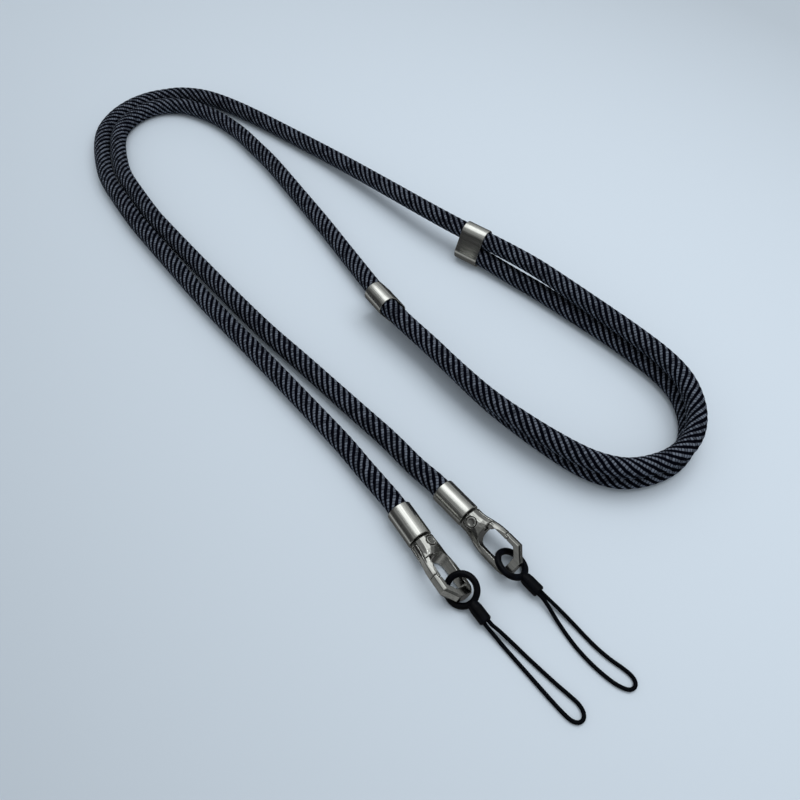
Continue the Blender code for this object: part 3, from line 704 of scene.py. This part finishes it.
def rope_material(rope):
    """Braided polyester: light heathered ribs of short slanted stitches between near-black yarn."""
    material, tree, shader = new_material("Braided Rope")
    weave = add_node(tree, "ShaderNodeSeparateXYZ", {
        0: add_node(tree, "ShaderNodeUVMap", uv_map="weave").outputs[0]})
    space = tree.nodes.new("ShaderNodeTexCoord").outputs["Object"]
    wander = noise(tree, space, RIB_DRIFT_SCALE)
    drift = calc(tree, "MULTIPLY_ADD", wander, 2 * RIB_DRIFT, -RIB_DRIFT)
    ribs = calc(tree, "MULTIPLY_ADD", weave.outputs[0], rope.ribs, drift)
    rib = calc(tree, "FLOOR", ribs)
    across = calc(tree, "SUBTRACT", calc(tree, "FRACT", ribs), 0.5)
    off_middle = calc(tree, "ABSOLUTE", across)
    place = calc(tree, "DIVIDE", weave.outputs[1], rope.stitch)
    slanted = calc(tree, "MULTIPLY_ADD", across, STITCH_SLANT, place)
    stitches = calc(tree, "MULTIPLY_ADD", rib, STITCH_SHIFT, slanted)
    stitch = calc(tree, "FLOOR", stitches)
    in_stitch = calc(tree, "SUBTRACT", calc(tree, "FRACT", stitches), 0.5)
    from_middle = calc(tree, "ABSOLUTE", in_stitch)
    bead = ramp(tree, from_middle, 0.50, 0.16)
    stripe = ramp(tree, off_middle, 0.28, 0.15)

    cell = add_node(tree, "ShaderNodeCombineXYZ", {0: rib, 1: stitch})
    chance = add_node(tree, "ShaderNodeTexWhiteNoise", {"Vector": cell.outputs[0]}).outputs["Value"]
    heather = noise(tree, space, HEATHER_SCALE, 3.0, 0.65)
    patch = noise(tree, space, 90.0, 1.0)

    fleck = calc(tree, "MULTIPLY", ramp(tree, chance, 0.0, 1.0, 0.40, 1.45, False),
                 ramp(tree, heather, 0.35, 0.65, 0.62, 1.22))
    # painted shade: each stitch is darker towards its ends than in its middle
    shade = calc(tree, "MULTIPLY", fleck, ramp(tree, bead, 0.0, 1.0, 0.22, 1.0))
    shade = calc(tree, "MULTIPLY", shade, ramp(tree, patch, 0.3, 0.7, 0.88, 1.12))
    light = calc(tree, "MULTIPLY", shade, stripe)
    specks = ramp(tree, heather, 0.62, 0.75, 0.0, 0.07)
    share = calc(tree, "MAXIMUM", light, specks)
    color = mix_color(tree, share, tuple(rope.dark), tuple(rope.light))
    tree.links.new(color, shader.inputs["Base Color"])

    yarn_lines = calc(tree, "SINE", calc(tree, "MULTIPLY", across, 2 * math.pi * YARNS_PER_RIB))
    height = calc(tree, "MULTIPLY", bead, stripe)
    height = calc(tree, "MULTIPLY_ADD", yarn_lines, 0.10, height)
    height = calc(tree, "MULTIPLY_ADD", heather, 0.35, height)
    bump(tree, shader, height, BRAID_DEPTH, 0.9)
    shader.inputs["Roughness"].default_value = 0.90
    shader.inputs["Specular IOR Level"].default_value = 0.03
    return material


def tether_material(tether):
    """Thin waxed braid: near black, fine slanted plies, a low even sheen."""
    material, tree, shader = new_material("Tether Cord")
    weave = add_node(tree, "ShaderNodeSeparateXYZ", {
        0: add_node(tree, "ShaderNodeUVMap", uv_map="weave").outputs[0]})
    plies = calc(tree, "MULTIPLY", weave.outputs[0], 2 * math.pi * tether.plies)
    along = calc(tree, "MULTIPLY", weave.outputs[1], 2 * math.pi / PLY_PITCH)
    cross = calc(tree, "SINE", calc(tree, "ADD", along, plies))
    space = tree.nodes.new("ShaderNodeTexCoord").outputs["Object"]
    fibre = noise(tree, space, 4000.0, 2.0)
    share = ramp(tree, calc(tree, "MULTIPLY_ADD", cross, 0.25, fibre), 0.2, 0.9)
    color = mix_color(tree, share, tuple(tether.color), scaled(tether.color, 2.6))
    tree.links.new(color, shader.inputs["Base Color"])
    bump(tree, shader, calc(tree, "MULTIPLY_ADD", cross, 0.5, fibre), PLY_DEPTH, 0.7)
    shader.inputs["Roughness"].default_value = 0.55
    shader.inputs["Specular IOR Level"].default_value = 0.06
    return material


def nickel_material(name, metal, place, brush_scale, cast=False):
    """Satin nickel brushed along the X axis of the piece's own frame.

    Cast metal: duller faces, painted shade in hollows and creases, painted highlight on worn edges.
    """
    material, tree, shader = new_material(name)
    space = tree.nodes.new("ShaderNodeTexCoord").outputs["Object"]
    turned = add_node(tree, "ShaderNodeMapping", {
        "Vector": space, "Location": place.translation, "Rotation": place.to_euler()},
        vector_type="TEXTURE")
    stretched = add_node(tree, "ShaderNodeMapping", {
        "Vector": turned.outputs[0], "Scale": (BRUSH_LENGTHWISE, brush_scale, brush_scale)})
    strokes = noise(tree, stretched.outputs[0], 1.0, 4.0, 0.7)
    cloud = noise(tree, space, 260.0, 2.0)
    spots = noise(tree, space, 1500.0, 3.0, 0.6)
    shade = calc(tree, "ADD", ramp(tree, strokes, 0.36, 0.62, 0.0, 0.84),
                 ramp(tree, cloud, 0.3, 0.7, 0.0, 0.16))
    base = tuple(metal.nickel)
    face = scaled(base, CAST_FACE if cast else 1.0)
    color = mix_color(tree, shade, scaled(face, STROKE_SHADE), face)
    rough = calc(tree, "MULTIPLY_ADD", strokes, 0.14, metal.roughness - 0.07)
    rough = calc(tree, "ADD", rough, ramp(tree, spots, 0.45, 0.75, 0.0, 0.04))
    if cast:
        # painted shade: the metal's colour darkens in hollows, where other metal is near
        occlusion = add_node(tree, "ShaderNodeAmbientOcclusion", {"Distance": HOLLOW_SHADE_REACH},
                          samples=8, only_local=True).outputs["AO"]
        bend = tree.nodes.new("ShaderNodeNewGeometry").outputs["Pointiness"]
        inside = ramp(tree, occlusion, 0.90, 0.40, 0.0, 0.90)
        # painted highlight together with polished wear: convex edges are lightened
        edge = ramp(tree, bend, 0.512, 0.565)
        # painted shade: concave creases are darkened
        crease_shade = ramp(tree, bend, 0.490, 0.430)
        color = mix_color(tree, inside, color, scaled(base, CAST_HOLLOW_SHADE))
        color = mix_color(tree, edge, color, scaled(base, CAST_EDGE_HIGHLIGHT_AND_WEAR))
        color = mix_color(tree, crease_shade, color, scaled(base, CAST_CREASE_SHADE))
        rough = calc(tree, "SUBTRACT", rough, 0.05)
    tree.links.new(color, shader.inputs["Base Color"])
    tree.links.new(rough, shader.inputs["Roughness"])
    bump(tree, shader, strokes, metal.brush_depth, 0.8)
    shader.inputs["Metallic"].default_value = 1.0
    return material


def rubber_material(rubber):
    """Moulded rubber: near black with a fine grain and faint dust."""
    material, tree, shader = new_material("Moulded Rubber")
    space = tree.nodes.new("ShaderNodeTexCoord").outputs["Object"]
    grain = noise(tree, space, 5200.0, 3.0, 0.6)
    smear = noise(tree, space, 420.0, 2.0)
    dusty = ramp(tree, smear, 0.4, 0.75)
    color = mix_color(tree, dusty, tuple(rubber.color), scaled(rubber.color, 2.2))
    rough = ramp(tree, smear, 0.3, 0.7, rubber.roughness - 0.06, rubber.roughness + 0.10)
    tree.links.new(color, shader.inputs["Base Color"])
    tree.links.new(rough, shader.inputs["Roughness"])
    bump(tree, shader, grain, 0.00002, 0.6)
    shader.inputs["Specular IOR Level"].default_value = 0.11
    return material


def turned(name, profile, steps):
    """A closed body turned about X from (along, radius) points, made a mesh in its own frame."""
    mesh = bpy.data.meshes.new(name)
    work = bmesh.new()
    ring = [work.verts.new((along, radius, 0.0)) for along, radius in profile]
    for start, end in zip(ring, ring[1:]):
        work.edges.new((start, end))
    bmesh.ops.spin(
        work, geom=work.verts[:] + work.edges[:], axis=(1.0, 0.0, 0.0), cent=(0.0, 0.0, 0.0),
        angle=2 * math.pi, steps=steps, use_merge=True,
    )
    bmesh.ops.remove_doubles(work, verts=work.verts, dist=WELD)
    bmesh.ops.recalc_face_normals(work, faces=work.faces)
    work.to_mesh(mesh)
    work.free()
    return mesh


def corner(centre, radius, start, end, steps=5):
    """Points of a round corner, angles in degrees, both ends included."""
    angles = [math.radians(start + (end - start) * step / steps) for step in range(steps + 1)]
    return [(centre[0] + radius * math.cos(a), centre[1] + radius * math.sin(a)) for a in angles]


def shade(mesh, degrees):
    mesh.shade_smooth()
    mesh.set_sharp_from_angle(angle=math.radians(degrees))


def cap_profile():
    """Wall of an end cap in (along, radius): rope bore, rounded mouth, outside, swivel face."""
    back = -SWIVEL_SLOT
    mouth = back - CAP_LENGTH
    floor = mouth + CAP_BORE_DEPTH
    outside = CAP_DIAMETER / 2
    bore = CAP_BORE / 2
    lip = (outside - bore) * 0.42
    edge = 0.00035
    post_hole = 0.0018
    profile = [(floor, post_hole), (floor, bore)]
    profile += corner((mouth + lip, bore + lip), lip, 270, 180)
    profile += corner((mouth + lip, outside - lip), lip, 180, 90)
    profile += [(mouth + 0.0012, outside), (back - 0.0020, outside)]
    profile += corner((back - edge, outside - edge), edge, 90, 0)
    profile += [(back, post_hole)]
    return profile + profile[:1]


def stud_profile():
    """Outline of a stud in (along, radius): a pin with a dished round head on each end."""
    seat = BARREL_DIAMETER / 2 - STUD_SEAT_DEPTH + FIT_GAP
    top = seat + STUD_HEAD_HEIGHT
    head = STUD_HEAD_DIAMETER / 2
    edge = STUD_HEAD_HEIGHT * 0.36
    dish = head * 0.62
    half = [(seat, STUD_PIN_DIAMETER / 2), (seat, head)]
    half += corner((top - edge, head - edge), edge, 90, 0)
    half += corner((top - edge, dish + edge), edge, 0, -60)
    half += [(top - edge, dish * 0.80), (top - edge * 0.8, 0.0)]
    return [(-along, radius) for along, radius in half[::-1]] + half


def stadium(half_straight, radius, steps):
    right = corner((half_straight, 0.0), radius, -90.0, 90.0, steps)
    left = corner((-half_straight, 0.0), radius, 90.0, 270.0, steps)
    return right + left


def slider_mesh(name):
    """A sleeve with a long round section: rounded lips at both mouths, bore along X."""
    wall = (SLIDER_THICKNESS - SLIDER_BORE) / 2
    lip = wall * 0.46
    half = SLIDER_LENGTH / 2
    inner = SLIDER_BORE / 2
    outer = SLIDER_THICKNESS / 2
    stations = []
    stations += corner((half - lip, outer - lip), lip, 90, 0, 4)
    stations += corner((half - lip, inner + lip), lip, 0, -90, 4)
    stations += corner((lip - half, inner + lip), lip, 270, 180, 4)
    stations += corner((lip - half, outer - lip), lip, 180, 90, 4)
    stations += [(half * share, outer) for share in (-0.5, 0.0, 0.5)]
    mesh = bpy.data.meshes.new(name)
    work = bmesh.new()
    loops = []
    for along, radius in stations:
        points = stadium(PAIR_SPACING / 2, radius, SLIDER_BEND_STEPS)
        loops.append([work.verts.new((along, y, z)) for y, z in points])
    for near, far in zip(loops, loops[1:] + loops[:1]):
        for index in range(len(near)):
            following = (index + 1) % len(near)
            work.faces.new((near[index], near[following], far[following], far[index]))
    bmesh.ops.remove_doubles(work, verts=work.verts, dist=WELD)
    bmesh.ops.recalc_face_normals(work, faces=work.faces)
    work.to_mesh(mesh)
    work.free()
    return mesh


def placed(name, mesh, place):
    """An object whose place is in its mesh."""
    mesh.transform(place)
    return add_object(name, mesh)


def cast_copy(name, node, metal):
    """A cast piece with soft edges, from a copy of a node's solid."""
    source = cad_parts[node]
    mesh = source.data.copy()
    work = bmesh.new()
    work.from_mesh(mesh)
    bmesh.ops.remove_doubles(work, verts=work.verts, dist=0.000002)
    work.to_mesh(mesh)
    work.free()
    item = add_object(name, mesh)
    remesh = item.modifiers.new("cells", "REMESH")
    remesh.mode = "VOXEL"
    remesh.voxel_size = metal.cast_cell
    soften = item.modifiers.new("edges", "SMOOTH")
    soften.factor = 0.5
    soften.iterations = metal.edge_passes
    piece = settle(item)
    piece.data.shade_smooth()
    return piece


class STRAP_OT_ropes(bpy.types.Operator):
    """Build the two braided ropes along their routes"""

    bl_idname = "strap.ropes"
    bl_label = "Braided Ropes"

    def execute(self, context):
        rope = context.scene.strap_rope
        material = rope_material(rope)
        ends = (("rope_outer", HOOK_LEFT), ("rope_inner", HOOK_RIGHT))
        for (node, hook), points in zip(ends, rope_routes()):
            path = smooth_route(points, ROPE_PATH_STEP)
            piece = ribbed_cord("braid_" + node, path, {
                "Diameter": ROPE_DIAMETER, "Ribs": rope.ribs, "Rib Height": rope.rib_height,
                "Lay": rope.lay, "Sample Step": rope.sample_step, "Material": material})
            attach(piece, "strap")
            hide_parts(node)
        return {"FINISHED"}


class STRAP_OT_tethers(bpy.types.Operator):
    """Build the two thin tether loops"""

    bl_idname = "strap.tethers"
    bl_label = "Tether Loops"

    def execute(self, context):
        tether = context.scene.strap_tether
        material = tether_material(tether)
        rows_of = ((HOOK_LEFT, RING_LEFT, TETHER_LEFT), (HOOK_RIGHT, RING_RIGHT, TETHER_RIGHT))
        for side, (hook, pose, rows) in zip(SIDES, rows_of):
            route = tether_route(ring_frame(hook_frame(hook), pose), rows)
            path = smooth_route(route, TETHER_PATH_STEP)
            piece = ribbed_cord("loop_cord_" + side, path, {
                "Diameter": TETHER_DIAMETER, "Ribs": tether.plies, "Rib Height": tether.ply_height,
                "Lay": tether.lay, "Sample Step": tether.sample_step, "Material": material})
            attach(piece, "clasp_" + side)
            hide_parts("tether_" + side)
        return {"FINISHED"}


class STRAP_OT_caps(bpy.types.Operator):
    """Build the two turned end caps"""

    bl_idname = "strap.caps"
    bl_label = "End Caps"

    def execute(self, context):
        metal = context.scene.strap_metal
        for side, hook in zip(SIDES, (HOOK_LEFT, HOOK_RIGHT)):
            place = hook_frame(hook)
            wall = turned("end_cap_" + side, cap_profile(), CAP_STEPS)
            piece = placed("end_cap_" + side, wall, place)
            shade(piece.data, SHARP_EDGE)
            paint(piece, nickel_material("Brushed Cap " + side, metal, place, SHEET_BRUSH))
            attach(piece, "strap")
            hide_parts("cap_" + side)
        return {"FINISHED"}


class STRAP_OT_sliders(bpy.types.Operator):
    """Build the two sliders"""

    bl_idname = "strap.sliders"
    bl_label = "Sliders"

    def execute(self, context):
        metal = context.scene.strap_metal
        spots = (("upper", SLIDER_UPPER, 1), ("middle", SLIDER_MIDDLE, -1))
        for name, spot, outer_side in spots:
            place = slider_frame(spot, outer_side)
            piece = placed("slider_sleeve_" + name, slider_mesh("slider_sleeve_" + name), place)
            shade(piece.data, SHARP_EDGE)
            paint(piece, nickel_material("Brushed Slider " + name, metal, place, SHEET_BRUSH))
            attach(piece, "strap")
            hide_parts("slider_" + name)
        return {"FINISHED"}


class STRAP_OT_clasps(bpy.types.Operator):
    """Build the cast hooks, gates and studs"""

    bl_idname = "strap.clasps"
    bl_label = "Clasps"

    def execute(self, context):
        metal = context.scene.strap_metal
        for side, hook in zip(SIDES, (HOOK_LEFT, HOOK_RIGHT)):
            place = hook_frame(hook)
            material = nickel_material("Satin Clasp " + side, metal, place, CAST_BRUSH, cast=True)
            upright = Matrix.Rotation(-math.pi / 2, 4, "Y")
            stand = place @ Matrix.Translation((STUD_ALONG, 0.0, 0.0)) @ upright
            stud = turned("turned_stud_" + side, stud_profile(), STUD_STEPS)
            pieces = (
                ("hook", "clasp", cast_copy("cast_hook_" + side, "hook_" + side, metal)),
                ("gate", "latch", cast_copy("cast_gate_" + side, "gate_" + side, metal)),
                ("stud", "clasp", placed("turned_stud_" + side, stud, stand)),
            )
            shade(stud, SHARP_EDGE)
            for node, body, piece in pieces:
                paint(piece, material)
                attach(piece, body + "_" + side)
                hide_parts(node + "_" + side)
        return {"FINISHED"}


class STRAP_OT_rings(bpy.types.Operator):
    """Build the moulded rubber rings"""

    bl_idname = "strap.rings"
    bl_label = "Rubber Rings"

    def execute(self, context):
        scene = context.scene
        material = rubber_material(scene.strap_rubber)
        for side in SIDES:
            piece = cast_copy("rubber_ring_" + side, "ring_" + side, scene.strap_metal)
            paint(piece, material)
            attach(piece, "clasp_" + side)
            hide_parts("ring_" + side)
        return {"FINISHED"}


def floor_material(stage):
    """Plain pale floor: painted light in a broad band under the strap, painted shade to both sides.
    """
    material, tree, shader = new_material("Pale Floor")
    space = tree.nodes.new("ShaderNodeTexCoord").outputs["Object"]
    # painted light: brightest along the band, with painted shade duller to both sides
    across = add_node(tree, "ShaderNodeVectorMath", {0: space, 1: LIGHT_POOL_ACROSS},
                      operation="DOT_PRODUCT").outputs["Value"]
    off_light_pool = calc(tree, "SUBTRACT", across, LIGHT_POOL_MIDDLE)
    fall = calc(tree, "MULTIPLY", off_light_pool, off_light_pool)
    share = ramp(tree, fall, 0.0, LIGHT_POOL_FALL, smooth=False)
    color = mix_color(tree, share, tuple(stage.floor), scaled(stage.floor, LIGHT_POOL_SHADE))
    tree.links.new(color, shader.inputs["Base Color"])
    shader.inputs["Roughness"].default_value = 0.6
    return material


def soft_room(stage):
    """World light: even on matte surfaces, and a dim studio with a soft box in reflections."""
    world = bpy.data.worlds.new("soft room")
    world.use_nodes = True
    tree = world.node_tree
    way = tree.nodes.new("ShaderNodeTexCoord").outputs["Generated"]
    parts = add_node(tree, "ShaderNodeSeparateXYZ", {0: way}).outputs
    toward_box = add_node(tree, "ShaderNodeVectorMath", {0: way, 1: SOFT_BOX_WAY},
                          operation="DOT_PRODUCT").outputs["Value"]
    edge, core = (math.cos(math.radians(angle)) for angle in (SOFT_BOX_EDGE, SOFT_BOX_CORE))
    box = ramp(tree, toward_box, edge, core, 0.0, stage.box_glow)
    back = ramp(tree, parts[1], 0.15, 0.75, 0.0, BACK_WALL_GLOW)
    high = ramp(tree, parts[2], 0.35, 0.85, 0.05, stage.room_glow)
    above = calc(tree, "ADD", box, calc(tree, "ADD", back, high))
    table = calc(tree, "MULTIPLY", ramp(tree, parts[2], -0.10, -0.28, 0.04, TABLE_GLOW),
                 ramp(tree, parts[2], -0.34, -0.62, 1.0, 0.18))
    table = calc(tree, "MULTIPLY", table, ramp(tree, parts[1], 0.25, 0.60, 1.0, 0.12))
    is_above = ramp(tree, parts[2], -0.02, 0.02)
    is_below = calc(tree, "SUBTRACT", 1.0, is_above)
    mirrored = calc(tree, "ADD", calc(tree, "MULTIPLY", above, is_above),
                    calc(tree, "MULTIPLY", table, is_below))
    even = calc(tree, "MULTIPLY_ADD", box, BOX_SHARE_ON_MATTE, stage.room_fill)
    ray = tree.nodes.new("ShaderNodeLightPath").outputs
    matte = calc(tree, "SUBTRACT", 1.0, ray["Is Glossy Ray"])
    level = calc(tree, "ADD", calc(tree, "MULTIPLY", mirrored, ray["Is Glossy Ray"]),
                 calc(tree, "MULTIPLY", even, matte))
    glow = add_node(tree, "ShaderNodeVectorMath", {0: ROOM_TINT, "Scale": level},
                    operation="SCALE").outputs[0]
    color = mix_color(tree, ray["Is Camera Ray"], glow, BACKDROP)
    tree.links.new(color, tree.nodes["Background"].inputs[0])
    return world


def area_light(name, place, target, size, power):
    """A square light that matte surfaces see and reflections don't."""
    light = bpy.data.lights.new(name, "AREA")
    light.shape = "SQUARE"
    light.size = size
    light.energy = power
    item = add_object(name, light)
    item.location = place
    item.rotation_euler = (Vector(target) - Vector(place)).to_track_quat("-Z", "Y").to_euler()
    item.visible_glossy = False
    return item


class STRAP_OT_stage(bpy.types.Operator):
    """Build the floor, the lights and the camera"""

    bl_idname = "strap.stage"
    bl_label = "Stage"

    def execute(self, context):
        stage = context.scene.strap_stage
        mesh = bpy.data.meshes.new("floor")
        work = bmesh.new()
        bmesh.ops.create_grid(work, x_segments=1, y_segments=1, size=FLOOR_HALF)
        work.to_mesh(mesh)
        work.free()
        floor = add_object("floor", mesh)
        floor.visible_glossy = False
        paint(floor, floor_material(stage))

        area_light("key", KEY_PLACE, KEY_TARGET, KEY_SIZE, stage.key_power)
        context.scene.world = soft_room(stage)
        context.scene.view_settings.view_transform = "Standard"

        data = bpy.data.cameras.new("camera")
        data.lens = stage.lens
        data.sensor_width = SENSOR_WIDTH
        data.clip_start = 0.01
        data.clip_end = 20.0
        camera = add_object("camera", data)
        away = Vector((0.0, -math.cos(stage.camera_elevation), math.sin(stage.camera_elevation)))
        camera.location = layout(0.0, 0.0, 0.0) + away * stage.camera_distance
        camera.rotation_euler = (math.pi / 2 - stage.camera_elevation, 0.0, 0.0)
        context.scene.camera = camera
        return {"FINISHED"}


class STRAP_PT_panel(bpy.types.Panel):
    """Lists the strap's settings and the operators that build it."""

    bl_idname = "STRAP_PT_panel"
    bl_label = "Crossbody Strap"
    bl_space_type = "VIEW_3D"
    bl_region_type = "UI"
    bl_category = "Strap"

    def draw(self, context):
        for label, settings in SETTINGS:
            box = self.layout.box()
            box.label(text=label)
            group = getattr(context.scene, settings)
            for key in group.__annotations__:
                box.prop(group, key)
        for operator in OPERATORS:
            self.layout.operator(operator.bl_idname)


SETTINGS = (
    ("Ropes", "strap_rope"),
    ("Tethers", "strap_tether"),
    ("Metal", "strap_metal"),
    ("Rubber", "strap_rubber"),
    ("Stage", "strap_stage"),
)
GROUPS = (RopeSettings, TetherSettings, MetalSettings, RubberSettings, StageSettings)
OPERATORS = (
    STRAP_OT_stage,
    STRAP_OT_ropes,
    STRAP_OT_tethers,
    STRAP_OT_caps,
    STRAP_OT_sliders,
    STRAP_OT_clasps,
    STRAP_OT_rings,
)


def register():
    for item in GROUPS + OPERATORS + (STRAP_PT_panel,):
        bpy.utils.register_class(item)
    for (label, settings), group in zip(SETTINGS, GROUPS):
        setattr(bpy.types.Scene, settings, PointerProperty(type=group))


def unregister():
    for label, settings in SETTINGS:
        delattr(bpy.types.Scene, settings)
    for item in reversed(GROUPS + OPERATORS + (STRAP_PT_panel,)):
        bpy.utils.unregister_class(item)


def main():
    """Register the add-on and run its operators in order."""
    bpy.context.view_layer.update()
    register()
    bpy.ops.strap.stage()
    bpy.ops.strap.ropes()
    bpy.ops.strap.tethers()
    bpy.ops.strap.caps()
    bpy.ops.strap.sliders()
    bpy.ops.strap.clasps()
    bpy.ops.strap.rings()


if __name__ == "__main__":
    main()
